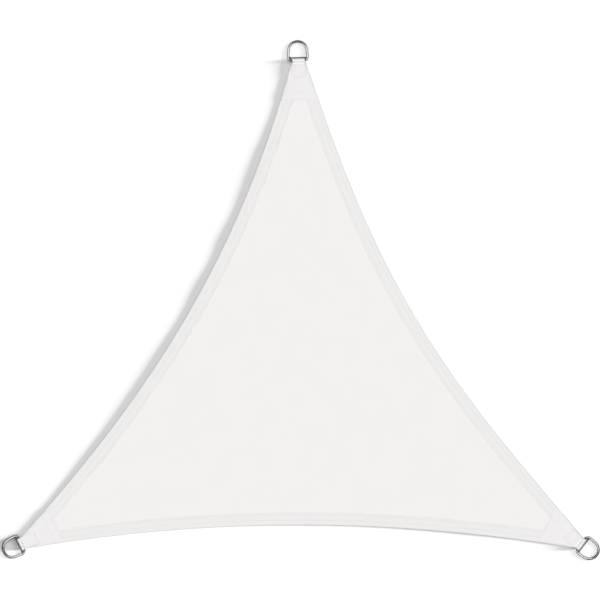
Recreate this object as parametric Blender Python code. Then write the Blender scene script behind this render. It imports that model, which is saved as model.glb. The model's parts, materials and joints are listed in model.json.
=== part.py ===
"""A triangular shade sail lying flat, seen from above.

+Y points to the top corner, +X to the right and +Z up. The sail is a cloth panel with three inward
curved sides and a folded hem. At each corner a loop of webbing, sewn in under a reinforcing patch,
holds a steel D-ring.
"""

import math
from dataclasses import dataclass

import bmesh
import bpy
from mathutils import Matrix, Vector
from mathutils.geometry import delaunay_2d_cdt, intersect_line_line_2d, intersect_point_line

MM = 0.001

# Cloth and what is sewn to it
FIELD_THICKNESS = 1.0 * MM
HEM_THICKNESS = 2.0 * MM
HEM_WIDTH = 42 * MM
HEM_STEP = 1.5 * MM
PATCH_THICKNESS = 1.0 * MM
PATCH_INSET = 2.0 * MM
PATCH_REACH = 142 * MM
BRIDGE_MARGIN = 6 * MM
BRIDGE_RAMP = 9 * MM
WEBBING_WIDTH = 41 * MM
WEBBING_THICKNESS = 1.2 * MM
WEBBING_REACH = 62 * MM
GAP = 0.3 * MM

# D-ring: u runs outwards from the cross bar, v across the ring
WIRE_RADIUS = 4.0 * MM
BAR_RADIUS = 2.3 * MM
CROWN_RADIUS = 31 * MM
CROWN_CENTRE = 24.8 * MM
LEG_SPLAY = math.radians(5)
RING_CORNER_RADIUS = 14 * MM
STRAIGHT_SIDE = -9.4 * MM
WIRE_SIDES = 12
CROWN_SEGMENTS = 15
CORNER_SEGMENTS = 8
LOOP_SEGMENTS = 16

# Heights: the cloth lies flat on z = 0 inside a rim that lifts a little
TIP_LIFT = 2.0 * MM
TIP_SHELF = 160 * MM
TIP_FADE = 240 * MM
RIM_LIFT = 3.6 * MM
RIM_WAVE = 0.5 * MM
RIM_WAVES = 11
RIM_WIDTH = 220 * MM
LOOP_CLEARANCE = 1.0 * MM
LOOP_FLOOR_GAP = 0.3 * MM
CROWN_FLOOR_GAP = 0.1 * MM

TIP_CUT = -16.2 * MM
LOOP_PINCH = -15.3 * MM
CLOTH_TOP_AT_TIP = TIP_LIFT + HEM_THICKNESS
LOWER_LEG = CLOTH_TOP_AT_TIP + GAP + WEBBING_THICKNESS / 2
UPPER_LEG = LOWER_LEG + WEBBING_THICKNESS + GAP
STRAIGHT_SIDE_HEIGHT = LOOP_FLOOR_GAP + WEBBING_THICKNESS + LOOP_CLEARANCE + WIRE_RADIUS
CROWN_HEIGHT = CROWN_FLOOR_GAP + WIRE_RADIUS

# Centre of each rounded lower corner, placed so that the splayed leg touches crown and corner alike
CORNER_U = STRAIGHT_SIDE + RING_CORNER_RADIUS
CORNER_V = (
    CROWN_RADIUS - RING_CORNER_RADIUS + (CROWN_CENTRE - CORNER_U) * math.sin(LEG_SPLAY)
) / math.cos(LEG_SPLAY)

SIDE_STEPS = 46
RIM_ROWS = (80 * MM, 125 * MM, 170 * MM, RIM_WIDTH)
FIELD_GRID = 72 * MM
PATCH_GRID = 9 * MM


@dataclass(frozen=True)
class Corner:
    """Where one ring's cross bar sits, and which way the ring and the cloth corner point.

    The cloth's tip and its webbing sit tip_shift across from the middle of the bar.
    """

    name: str
    x: float
    y: float
    ring_angle: float
    cloth_angle: float
    tip_width: float
    tip_shift: float

    @property
    def bar(self):
        return Vector((self.x, self.y))

    @property
    def outward(self):
        return Vector((math.cos(math.radians(self.ring_angle)), math.sin(math.radians(self.ring_angle))))

    @property
    def across(self):
        return Vector((-self.outward.y, self.outward.x))

    @property
    def cloth_axis(self):
        return Vector((math.cos(math.radians(self.cloth_angle)), math.sin(math.radians(self.cloth_angle))))

    def place(self, u, v):
        """Plan point at u outwards from the bar and v across it."""
        return self.bar + self.outward * u + self.across * v

    def tip_ends(self):
        """The two ends of the cut-off cloth corner, clockwise one first."""
        half = self.tip_width / 2
        return self.place(TIP_CUT, self.tip_shift - half), self.place(TIP_CUT, self.tip_shift + half)


@dataclass(frozen=True)
class Side:
    """An inward curved side: its depth, how pointed the curve is, and how lopsided."""

    start: str
    end: str
    depth: float
    pointed: float
    lopsided: float


CORNERS = {
    corner.name: corner
    for corner in (
        Corner("top", -0.0080, 0.8200, 91.0, 90.0, 49 * MM, -2.2 * MM),
        Corner("left", -0.9526, -0.8278, 206.8, 209.0, 41 * MM, 1.7 * MM),
        Corner("right", 0.9589, -0.8291, -37.6, -31.0, 44 * MM, -2.4 * MM),
    )
}

# Anticlockwise round the sail
SIDES = (
    Side("right", "top", 114.5 * MM, 28 * MM, 6 * MM),
    Side("top", "left", 116.7 * MM, 6 * MM, -9 * MM),
    Side("left", "right", 78.5 * MM, 0 * MM, -1.5 * MM),
)


def smooth(t):
    """Ease from 0 to 1 as t goes from 0 to 1."""
    t = min(max(t, 0.0), 1.0)
    return t * t * (3 - 2 * t)


def side_line(side, offset=0.0, steps=SIDE_STEPS):
    """Points along a side, moved into the cloth by offset."""
    start = CORNERS[side.start].tip_ends()[1]
    end = CORNERS[side.end].tip_ends()[0]
    chord = end - start
    inward = Vector((-chord.y, chord.x)).normalized()
    points = []
    for step in range(steps + 1):
        t = step / steps
        u = 2 * t - 1
        bulge = (1 - u * u) * (side.depth - side.pointed * u * u + side.lopsided * u)
        slope = -2 * u * (side.depth - side.pointed * u * u + side.lopsided * u)
        slope += (1 - u * u) * (side.lopsided - 2 * side.pointed * u)
        tangent = (chord / 2 + inward * slope).normalized()
        normal = Vector((-tangent.y, tangent.x))
        points.append(start + chord * t + inward * bulge + normal * offset)
    return points


def crossing(first, second):
    """Where the end of one line meets the start of the next, as (index, index, point)."""
    for i in range(len(first) - 2, -1, -1):
        for j in range(len(second) - 1):
            point = intersect_line_line_2d(first[i], first[i + 1], second[j], second[j + 1])
            if point is not None:
                return i, j, point
    raise ValueError("the lines do not meet")


def inner_loop(offset):
    """Closed line a set distance in from all three sides."""
    lines = [side_line(side, offset) for side in SIDES]
    meets = [crossing(lines[k - 1], lines[k]) for k in range(3)]
    loop = []
    for k, line in enumerate(lines):
        _, first, meeting = meets[k]
        last = meets[(k + 1) % 3][0]
        loop.append(meeting)
        loop.extend(line[first + 1:last + 1])
    return loop


def sail_outline():
    """The cut edge of the cloth, anticlockwise."""
    return [point for side in SIDES for point in side_line(side)]


SIDE_LINES = [side_line(side) for side in SIDES]


def distance_to_line(point, line):
    """Shortest plan distance from a point to a line of segments."""
    best = math.inf
    for a, b in zip(line, line[1:]):
        foot, t = intersect_point_line(point, a, b)
        if t < 0:
            foot = a
        elif t > 1:
            foot = b
        best = min(best, (point - Vector(foot[:2])).length)
    return best


def edge_distance(point):
    """Plan distance to the nearest curved side."""
    return min(distance_to_line(point, line) for line in SIDE_LINES)


def tip_distance(point):
    """Plan distance to the nearest ring."""
    return min((point - corner.bar).length for corner in CORNERS.values())


def lift(point):
    """Height of the cloth's underside: flat on the ground, with a raised rim and corners."""
    rise = smooth(1 - edge_distance(point) / RIM_WIDTH)
    wave = RIM_WAVE * math.sin(RIM_WAVES * math.atan2(point.y, point.x))
    rim = (RIM_LIFT + wave) * rise
    corner = smooth(1 - (tip_distance(point) - TIP_SHELF) / TIP_FADE)
    return rim + (TIP_LIFT - rim) * corner


def cloth_top(point):
    """Height of the cloth's upper face, thicker over the hem."""
    in_hem = edge_distance(point) < HEM_WIDTH + HEM_STEP / 2
    return lift(point) + (HEM_THICKNESS if in_hem else FIELD_THICKNESS)


def inside(point, outline):
    """True where a plan point lies within a closed line."""
    odd = False
    for a, b in zip(outline, outline[1:] + outline[:1]):
        if (a.y > point.y) != (b.y > point.y):
            if point.x < a.x + (point.y - a.y) * (b.x - a.x) / (b.y - a.y):
                odd = not odd
    return odd


def grid_points(outline, spacing, clear):
    """A triangular grid of points inside an outline, keeping clear of its line."""
    closed = outline + outline[:1]
    low_x, high_x = min(p.x for p in outline), max(p.x for p in outline)
    low_y, high_y = min(p.y for p in outline), max(p.y for p in outline)
    rise = spacing * math.sqrt(3) / 2
    points = []
    for row in range(int((high_y - low_y) / rise) + 1):
        shift = spacing / 2 if row % 2 else 0.0
        for column in range(int((high_x - low_x) / spacing) + 2):
            point = Vector((low_x + column * spacing - shift, low_y + row * rise))
            if inside(point, outline) and distance_to_line(point, closed) > clear:
                points.append(point)
    return points


def make_material(name, colour, roughness, metallic=0.0):
    """Principled material of one colour."""
    material = bpy.data.materials.new(name)
    material.use_nodes = True
    shader = material.node_tree.nodes["Principled BSDF"]
    shader.inputs["Base Color"].default_value = (*colour, 1.0)
    shader.inputs["Roughness"].default_value = roughness
    shader.inputs["Metallic"].default_value = metallic
    return material


def object_from_bmesh(name, mesh_data, material):
    """Recalculate the faces outwards and link the mesh as a named object."""
    bmesh.ops.recalc_face_normals(mesh_data, faces=mesh_data.faces)
    mesh = bpy.data.meshes.new(name)
    mesh_data.to_mesh(mesh)
    mesh_data.free()
    mesh.materials.append(material)
    obj = bpy.data.objects.new(name, mesh)
    bpy.context.scene.collection.objects.link(obj)
    return obj


def sheet_solid(name, outline, loops, points, underside, upper, material):
    """A closed sheet whose plan is an outline and whose two faces follow height functions."""
    plan = list(outline)
    edges = [(k, (k + 1) % len(outline)) for k in range(len(outline))]
    for loop in loops:
        first = len(plan)
        plan.extend(loop)
        edges.extend((first + k, first + (k + 1) % len(loop)) for k in range(len(loop)))
    plan.extend(points)
    verts, _, faces, *_ = delaunay_2d_cdt(plan, edges, [], 0, 1e-7)
    kept = [face for face in faces if inside(sum((verts[i] for i in face), Vector((0, 0))) / 3, outline)]
    used = sorted({index for face in kept for index in face})

    sheet = bmesh.new()
    low = {i: sheet.verts.new((*verts[i], underside(verts[i]))) for i in used}
    high = {i: sheet.verts.new((*verts[i], upper(verts[i]))) for i in used}
    for face in kept:
        sheet.faces.new([high[i] for i in face])
        sheet.faces.new([low[i] for i in reversed(face)])
    directed = {(a, b) for face in kept for a, b in zip(face, face[1:] + face[:1])}
    for a, b in sorted(directed):
        if (b, a) not in directed:
            sheet.faces.new((low[a], low[b], high[b], high[a]))
    return object_from_bmesh(name, sheet, material)


def make_cloth():
    """The sail's panel with its hem."""
    loops = [inner_loop(HEM_WIDTH), inner_loop(HEM_WIDTH + HEM_STEP)]
    loops.extend(inner_loop(row) for row in RIM_ROWS)
    points = grid_points(loops[-1], FIELD_GRID, FIELD_GRID / 2)
    material = make_material("sail_cloth", (0.88, 0.87, 0.855), roughness=0.8)
    return sheet_solid("sail_cloth", sail_outline(), loops, points, lift, cloth_top, material)


def patch_outline(corner):
    """Patch plan: inset from the cloth's sides, straight across at its inner end."""
    incoming = next(side for side in SIDES if side.end == corner.name)
    outgoing = next(side for side in SIDES if side.start == corner.name)
    lines = (side_line(incoming, PATCH_INSET), side_line(outgoing, PATCH_INSET)[::-1])
    limbs = []
    for line in lines:
        reach = [(point - corner.bar).dot(corner.cloth_axis) for point in line]
        first = next(k for k, value in enumerate(reach) if value > -PATCH_REACH)
        share = (-PATCH_REACH - reach[first - 1]) / (reach[first] - reach[first - 1])
        start = line[first - 1].lerp(line[first], share)
        limbs.append([start] + line[first:])
    return limbs[0] + limbs[1][::-1]


def make_patch(corner, material):
    """Reinforcing patch, lying on the hems and bridging the webbing's legs."""
    raised = WEBBING_REACH + BRIDGE_MARGIN
    half = WEBBING_WIDTH / 2 + BRIDGE_MARGIN

    def underside(point):
        local = point - corner.bar
        sideways = abs(local.dot(corner.across) - corner.tip_shift)
        beyond = max(-local.dot(corner.outward) - raised, sideways - half)
        bridge = (UPPER_LEG + WEBBING_THICKNESS / 2 - CLOTH_TOP_AT_TIP) * smooth(1 - beyond / BRIDGE_RAMP)
        return CLOTH_TOP_AT_TIP + GAP + bridge

    def upper(point):
        return underside(point) + PATCH_THICKNESS

    outline = patch_outline(corner)
    finer = []
    for a, b in zip(outline, outline[1:] + outline[:1]):
        pieces = max(1, round((b - a).length / PATCH_GRID))
        finer.extend(a.lerp(b, k / pieces) for k in range(pieces))
    points = grid_points(finer, PATCH_GRID, PATCH_GRID / 2)
    return sheet_solid(f"patch_{corner.name}", finer, [], points, underside, upper, material)


def tangent_angle(point, centre, radius, turn):
    """Angle on a circle where a line from an outside point touches it, on the side that turn gives."""
    away = point - centre
    return math.atan2(away.y, away.x) + turn * math.acos(radius / away.length)


def webbing_path():
    """Middle line of the loop in (u, z): along the upper leg, round the wire and back."""
    centre = Vector((STRAIGHT_SIDE, STRAIGHT_SIDE_HEIGHT))
    radius = WIRE_RADIUS + LOOP_CLEARANCE + WEBBING_THICKNESS / 2
    upper_pinch = Vector((LOOP_PINCH, UPPER_LEG))
    lower_pinch = Vector((LOOP_PINCH, LOWER_LEG))
    start = tangent_angle(upper_pinch, centre, radius, -1)
    end = tangent_angle(lower_pinch, centre, radius, 1)
    if end > start:
        end -= 2 * math.pi
    arc = []
    for k in range(LOOP_SEGMENTS + 1):
        angle = start + (end - start) * k / LOOP_SEGMENTS
        arc.append(centre + Vector((math.cos(angle), math.sin(angle))) * radius)
    inner_end = -WEBBING_REACH
    return [Vector((inner_end, UPPER_LEG)), upper_pinch, *arc, lower_pinch, Vector((inner_end, LOWER_LEG))]


def offset_line(line, offset):
    """A line of segments moved sideways, with mitred joints."""
    moved = []
    for k, point in enumerate(line):
        before = (point - line[k - 1]).normalized() if k else None
        after = (line[k + 1] - point).normalized() if k < len(line) - 1 else None
        before, after = before or after, after or before
        normal = Vector((-before.y - after.y, before.x + after.x)).normalized()
        moved.append(point + normal * (offset / normal.dot(Vector((-after.y, after.x)))))
    return moved


def make_webbing(corner, material):
    """Loop of webbing round the ring's straight side, its two legs lying together."""
    path = webbing_path()
    faces = (offset_line(path, WEBBING_THICKNESS / 2), offset_line(path, -WEBBING_THICKNESS / 2))
    loop = bmesh.new()
    rails = []
    for v in (corner.tip_shift - WEBBING_WIDTH / 2, corner.tip_shift + WEBBING_WIDTH / 2):
        for face in faces:
            rails.append([loop.verts.new((*corner.place(p.x, v), p.y)) for p in face])
    near_out, near_in, far_out, far_in = rails
    for k in range(len(path) - 1):
        for a, b in ((near_out, far_out), (far_out, far_in), (far_in, near_in), (near_in, near_out)):
            loop.faces.new((a[k], a[k + 1], b[k + 1], b[k]))
    for k in (0, -1):
        loop.faces.new((near_out[k], far_out[k], far_in[k], near_in[k]))
    return object_from_bmesh(f"webbing_{corner.name}", loop, material)


def ring_centreline():
    """Closed D in (u, v): round crown, two splayed legs, rounded corners and the straight side."""
    touch = math.pi / 2 - LEG_SPLAY

    def arc(centre_u, centre_v, radius, start, end, segments):
        angles = [start + (end - start) * k / segments for k in range(segments + 1)]
        return [Vector((centre_u + radius * math.cos(a), centre_v + radius * math.sin(a))) for a in angles]

    crown = arc(CROWN_CENTRE, 0, CROWN_RADIUS, -touch, touch, CROWN_SEGMENTS)
    far = arc(CORNER_U, CORNER_V, RING_CORNER_RADIUS, touch, math.pi, CORNER_SEGMENTS)
    near = arc(CORNER_U, -CORNER_V, RING_CORNER_RADIUS, math.pi, 2 * math.pi - touch, CORNER_SEGMENTS)
    return crown + far + near


def tube(mesh_data, frames, radius, sides, closed):
    """Sweep a regular polygon through (centre, sideways, up) frames, flats facing sideways."""
    corner_radius = radius / math.cos(math.pi / sides)
    rings = []
    for centre, sideways, up in frames:
        ring = []
        for k in range(sides):
            angle = (k + 0.5) * 2 * math.pi / sides
            ring.append(mesh_data.verts.new(
                centre + (sideways * math.cos(angle) + up * math.sin(angle)) * corner_radius))
        rings.append(ring)
    pairs = list(zip(rings, rings[1:])) + ([(rings[-1], rings[0])] if closed else [])
    for a, b in pairs:
        for k in range(sides):
            n = (k + 1) % sides
            mesh_data.faces.new((a[k], a[n], b[n], b[k]))
    if not closed:
        mesh_data.faces.new(rings[0])
        mesh_data.faces.new(rings[-1])


def ring_matrix(corner):
    """Places (u, v, up) of a ring lying on its crown, its straight side raised by the webbing."""
    crown = CROWN_CENTRE + CROWN_RADIUS
    fall = (CROWN_HEIGHT - STRAIGHT_SIDE_HEIGHT) / (crown - STRAIGHT_SIDE)
    u_axis = Vector((*corner.outward, fall)).normalized()
    v_axis = Vector((*corner.across, 0.0))
    up = u_axis.cross(v_axis)
    height = STRAIGHT_SIDE_HEIGHT - fall * STRAIGHT_SIDE
    turn = Matrix((u_axis, v_axis, up)).transposed().to_4x4()
    return Matrix.Translation((*corner.bar, height)) @ turn


def make_ring(corner, material):
    """D-ring of round wire with a thin bar across it."""
    up = Vector((0, 0, 1))
    line = ring_centreline()
    frames = []
    for k, point in enumerate(line):
        before = (point - line[k - 1]).normalized()
        after = (line[(k + 1) % len(line)] - point).normalized()
        out = Vector((before.y + after.y, -before.x - after.x, 0)).normalized()
        spread = 1 / out.dot(Vector((after.y, -after.x, 0)))
        frames.append((Vector((*point, 0)), out * spread, up))
    bow = bmesh.new()
    tube(bow, frames, WIRE_RADIUS, WIRE_SIDES, closed=True)
    ring = object_from_bmesh(f"ring_{corner.name}", bow, material)

    reach = CORNER_V + math.sqrt(RING_CORNER_RADIUS ** 2 - CORNER_U ** 2)
    rod = bmesh.new()
    ends = [(Vector((0, v, 0)), Vector((1, 0, 0)), up) for v in (-reach, reach)]
    tube(rod, ends, BAR_RADIUS, WIRE_SIDES, closed=False)
    bar = object_from_bmesh(f"guide_bar_{corner.name}", rod, material)
    bar.hide_render = True
    bar.display_type = "WIRE"

    weld = ring.modifiers.new("weld bar", "BOOLEAN")
    weld.operation = "UNION"
    weld.solver = "EXACT"
    weld.object = bar
    place = ring_matrix(corner)
    for obj in (ring, bar):
        obj.data.transform(place)
        obj.data.shade_smooth()
    return ring


def centre_on_ground(objects):
    """Move everything so that the box's bottom centre is the origin."""
    corners = [vert.co for obj in objects for vert in obj.data.vertices]
    low = Vector(min(co[axis] for co in corners) for axis in range(3))
    high = Vector(max(co[axis] for co in corners) for axis in range(3))
    shift = Matrix.Translation((-(low.x + high.x) / 2, -(low.y + high.y) / 2, -low.z))
    for obj in bpy.data.objects:
        obj.data.transform(shift)


def main():
    """Clear the scene, build every piece and stand the sail on the ground."""
    for obj in list(bpy.data.objects):
        bpy.data.objects.remove(obj)
    pieces = [make_cloth()]
    for corner in CORNERS.values():
        patch_material = make_material(f"patch_{corner.name}", (0.85, 0.845, 0.84), roughness=0.8)
        webbing_material = make_material(f"webbing_{corner.name}", (0.91, 0.90, 0.86), roughness=0.7)
        pieces.append(make_patch(corner, patch_material))
        pieces.append(make_webbing(corner, webbing_material))
        steel = make_material(f"ring_{corner.name}", (0.62, 0.62, 0.63), roughness=0.18, metallic=1.0)
        pieces.append(make_ring(corner, steel))
    centre_on_ground(pieces)


main()
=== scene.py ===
"""Looks of a triangular shade sail laid out flat: cloth, stitched hems, corner patches, webbing and D-rings.

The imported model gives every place: the cloth's cut edge comes from its solid, and each corner's place and
direction from the mount in the crown of its ring. Lengths are in metres, +Y points to the top corner, +Z up.
"""

import json
import logging
import math
from dataclasses import dataclass, field
from enum import Enum

import bpy
import numpy as np
from mathutils import Matrix, Vector
from mathutils.geometry import delaunay_2d_cdt
from mathutils.kdtree import KDTree


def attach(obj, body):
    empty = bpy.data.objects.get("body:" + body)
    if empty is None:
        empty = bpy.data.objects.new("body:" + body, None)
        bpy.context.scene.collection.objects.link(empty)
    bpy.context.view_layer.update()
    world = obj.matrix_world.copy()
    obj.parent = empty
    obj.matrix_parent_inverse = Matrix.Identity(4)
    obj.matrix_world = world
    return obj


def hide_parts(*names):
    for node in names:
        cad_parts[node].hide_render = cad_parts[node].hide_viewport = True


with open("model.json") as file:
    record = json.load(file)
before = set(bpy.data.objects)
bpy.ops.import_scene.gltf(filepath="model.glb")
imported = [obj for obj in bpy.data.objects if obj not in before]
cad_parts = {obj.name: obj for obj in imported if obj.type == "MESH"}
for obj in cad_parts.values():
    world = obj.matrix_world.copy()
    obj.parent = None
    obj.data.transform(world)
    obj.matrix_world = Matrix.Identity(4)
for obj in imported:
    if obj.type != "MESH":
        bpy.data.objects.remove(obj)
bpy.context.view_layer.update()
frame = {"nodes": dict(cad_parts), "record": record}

MM = 0.001
BODY = "root"
RUN_MAP = "run"
WELD_MARK = "weld"
# point attribute on the panel: where painted shade darkens the cloth along its folded cut edge
PAINTED_FOLD_SHADE = "fold"
WAVE_SHIFT = 1.7
WAVE_PEAK = 1.2
ROW_CLEAR = 0.98  # share of a row's offset that each of its points keeps to every cut edge
LOG = logging.getLogger("shade_sail")


class CornerName(Enum):
    """The sail's three corners, named by where they point."""

    TOP = "top"
    LEFT = "left"
    RIGHT = "right"


class EdgeKind(Enum):
    """What a stretch of a cut edge is: a long curved side or a short cut-off tip."""

    SIDE = "side"
    TIP = "tip"


def smooth(share: np.ndarray | float) -> np.ndarray | float:
    """Ease from 0 to 1 as share goes from 0 to 1."""
    share = np.clip(share, 0.0, 1.0)
    return share * share * (3 - 2 * share)


def ripple(along: np.ndarray, lengths: tuple[float, ...]) -> np.ndarray:
    """Uneven wave between about -1 and 1.

    Args:
        along: Place along the wave.
        lengths: Wavelengths whose sines are added up.

    Returns:
        The wave's height at each place.
    """
    waves = [np.sin(2 * math.pi * along / length + WAVE_SHIFT * k) for k, length in enumerate(lengths)]
    return np.sum(waves, axis=0) / math.sqrt(len(lengths)) / WAVE_PEAK


def curve_through(points: np.ndarray, step: float) -> np.ndarray:
    """Smooth open line through points, with evenly spaced points of its own.

    Args:
        points: The points that the line passes, one a row.
        step: Wanted spacing.

    Returns:
        The line's points, its first and last the same as those given.
    """
    ends = np.vstack([2 * points[0] - points[1], points, 2 * points[-1] - points[-2]])
    before, start, end, after = ends[:-3], ends[1:-2], ends[2:-1], ends[3:]
    fine = []
    for t in np.linspace(0, 1, 10, endpoint=False):
        fine.append(0.5 * (2 * start + (end - before) * t
                           + (2 * before - 5 * start + 4 * end - after) * t ** 2
                           + (3 * start - before - 3 * end + after) * t ** 3))
    line = np.stack(fine, axis=1).reshape(-1, points.shape[1])
    return spaced(np.vstack([line, points[-1]]), step)


def run_along(line: np.ndarray) -> np.ndarray:
    """Distance along a line at each of its points."""
    return np.concatenate([[0.0], np.cumsum(np.linalg.norm(np.diff(line, axis=0), axis=1))])


def at_run(line: np.ndarray, runs: np.ndarray) -> np.ndarray:
    """Points on a line at the given distances along it."""
    along = run_along(line)
    return np.stack([np.interp(runs, along, line[:, k]) for k in range(line.shape[1])], axis=-1)


def spaced(line: np.ndarray, step: float) -> np.ndarray:
    """The line again, with points about step apart."""
    long = run_along(line)[-1]
    return at_run(line, np.linspace(0, long, max(2, round(long / step) + 1)))


def unit(vectors: np.ndarray) -> np.ndarray:
    """Vectors at length 1."""
    return vectors / np.maximum(np.linalg.norm(vectors, axis=-1, keepdims=True), 1e-12)


def new_object(name: str, verts: np.ndarray, faces: list, *materials: bpy.types.Material) -> bpy.types.Object:
    """Link a smooth-shaded mesh as a named object.

    Args:
        name: The piece's name.
        verts: Points, one a row.
        faces: Tuples of point numbers.
        materials: What its material slots hold.

    Returns:
        The linked object.
    """
    mesh = bpy.data.meshes.new(name)
    mesh.from_pydata(verts.tolist(), [], faces)
    mesh.validate()
    mesh.shade_smooth()
    for material in materials:
        mesh.materials.append(material)
    obj = bpy.data.objects.new(name, mesh)
    bpy.context.scene.collection.objects.link(obj)
    return obj


def settle(obj: bpy.types.Object, replaces: str | None = None) -> bpy.types.Object:
    """Put a finished piece on the sail's body and log it.

    Args:
        obj: The piece, in place.
        replaces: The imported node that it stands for.

    Returns:
        The same piece.
    """
    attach(obj, BODY)
    if replaces:
        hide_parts(replaces)
    LOG.info("%s: %d faces", obj.name, len(obj.data.polygons))
    return obj


# ---------------------------------------------------------------- finishes


def linear(code: str) -> tuple[float, float, float, float]:
    """Linear colour of an sRGB hex code."""
    values = [int(code[k:k + 2], 16) / 255 for k in (1, 3, 5)]
    return (*(v / 12.92 if v <= 0.04045 else ((v + 0.055) / 1.055) ** 2.4 for v in values), 1.0)


def shade(code: str, factor: float) -> tuple[float, float, float, float]:
    """Linear colour of a hex code, lighter or darker by a factor."""
    return (*(min(1.0, value * factor) for value in linear(code)[:3]), 1.0)


def add_node(tree: bpy.types.NodeTree, kind: str, settings: dict, feeds: dict) -> bpy.types.Node:
    """Add a shader node with its settings and links.

    Args:
        tree: The node tree.
        kind: The node's type, without the ShaderNode in front.
        settings: Attributes to set on the node.
        feeds: For each input, by name or number, a value or another node's output.

    Returns:
        The new node.
    """
    node = tree.nodes.new("ShaderNode" + kind)
    for name, value in settings.items():
        setattr(node, name, value)
    for name, value in feeds.items():
        if isinstance(value, bpy.types.NodeSocket):
            tree.links.new(value, node.inputs[name])
        else:
            node.inputs[name].default_value = value
    return node


@dataclass(frozen=True)
class Finish:
    """What every finish has: a name, its colour and its roughness."""

    name: str
    colour: str
    roughness: float

    def start(self) -> tuple[bpy.types.Material, bpy.types.NodeTree, bpy.types.Node]:
        """Make the material and set its plain values.

        Returns:
            The material, its tree and its shader.
        """
        material = bpy.data.materials.new(self.name)
        material.use_nodes = True
        material.diffuse_color = linear(self.colour)
        shader = material.node_tree.nodes["Principled BSDF"]
        shader.inputs["Base Color"].default_value = linear(self.colour)
        shader.inputs["Roughness"].default_value = self.roughness
        return material, material.node_tree, shader

    def sine(self, tree: bpy.types.NodeTree, place: bpy.types.NodeSocket,
             period: float) -> bpy.types.NodeSocket:
        """Sine of a place, once every two periods.

        Args:
            tree: The node tree.
            place: The coordinate, in metres.
            period: Length of half a wave, such as one thread's spacing.

        Returns:
            The output that carries the sine.
        """
        turned = add_node(tree, "Math", {"operation": "MULTIPLY"}, {0: place, 1: math.pi / period})
        return add_node(tree, "Math", {"operation": "SINE"}, {0: turned.outputs[0]}).outputs[0]


@dataclass(frozen=True)
class WovenPolyester(Finish):
    """Solution-dyed polyester, plain-woven and calendered: an even matt white with faint thick weft threads."""

    thread: float = 1.0 * MM  # the real spacing is 0.5 mm; drawn twice as coarse so that it shows close up
    relief: float = 0.12 * MM
    relief_strength: float = 0.35
    cloud: float = 90 * MM
    cloud_share: float = 0.012
    slub_length: float = 83.333 * MM
    slub_width: float = 2.381 * MM  # a thick thread is about 1 mm wide; drawn coarser so that it shows
    slub_range: tuple[float, float] = (0.62, 0.78)
    slub_share: float = 0.016
    slub_shade: float = 0.5
    # painted shade: how dark the colour goes along the folded cut edge
    painted_fold_shade: float = 0.62
    shine: float = 0.25
    fuzz: float = 0.08
    fuzz_roughness: float = 0.5

    def make(self) -> bpy.types.Material:
        """Build the cloth's material: weave in relief, soft clouds and slubs in the colour, painted shade along
        the folded edges.
        """
        material, tree, shader = self.start()
        place = add_node(tree, "TexCoord", {}, {}).outputs["Object"]
        axes = add_node(tree, "SeparateXYZ", {}, {0: place})
        warp = self.sine(tree, axes.outputs["X"], self.thread)
        weft = self.sine(tree, axes.outputs["Y"], self.thread)
        crossing = add_node(tree, "Math", {"operation": "MULTIPLY"}, {0: warp, 1: weft})
        height = add_node(tree, "Math", {"operation": "ABSOLUTE"}, {0: crossing.outputs[0]})

        cloud = add_node(tree, "TexNoise", {}, {"Vector": place, "Scale": 1 / self.cloud, "Detail": 2.0})
        stretch = add_node(tree, "Mapping", {},
                           {"Vector": place, "Scale": (1 / self.slub_length, 1 / self.slub_width, 1.0)})
        slub = add_node(tree, "TexNoise", {}, {"Vector": stretch.outputs[0], "Scale": 1.0, "Detail": 3.0})
        streak = add_node(tree, "MapRange", {"clamp": True},
                          {"Value": slub.outputs[0], "From Min": self.slub_range[0],
                           "From Max": self.slub_range[1], "To Min": 0.0, "To Max": self.slub_share})
        base = add_node(tree, "Mix", {"data_type": "RGBA"},
                        {"Factor": cloud.outputs[0], "A": shade(self.colour, 1 - self.cloud_share),
                         "B": shade(self.colour, 1 + self.cloud_share)})
        colour = add_node(tree, "Mix", {"data_type": "RGBA"},
                          {"Factor": streak.outputs[0], "A": base.outputs["Result"],
                           "B": shade(self.colour, self.slub_shade)})
        # painted shade: the colour darkens along the folded cut edge, standing for the shade where the fold
        # turns away from the light
        fold_shading = add_node(tree, "Attribute", {"attribute_name": PAINTED_FOLD_SHADE}, {}).outputs["Fac"]
        shaded_colour = add_node(tree, "Mix", {"data_type": "RGBA"},
                          {"Factor": fold_shading, "A": colour.outputs["Result"],
                           "B": shade(self.colour, self.painted_fold_shade)})
        tree.links.new(shaded_colour.outputs["Result"], shader.inputs["Base Color"])

        bump = add_node(tree, "Bump", {}, {"Height": height.outputs[0], "Distance": self.relief,
                                           "Strength": self.relief_strength})
        tree.links.new(bump.outputs[0], shader.inputs["Normal"])
        shader.inputs["Specular IOR Level"].default_value = self.shine
        shader.inputs["Sheen Weight"].default_value = self.fuzz
        shader.inputs["Sheen Roughness"].default_value = self.fuzz_roughness
        return material


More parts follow.
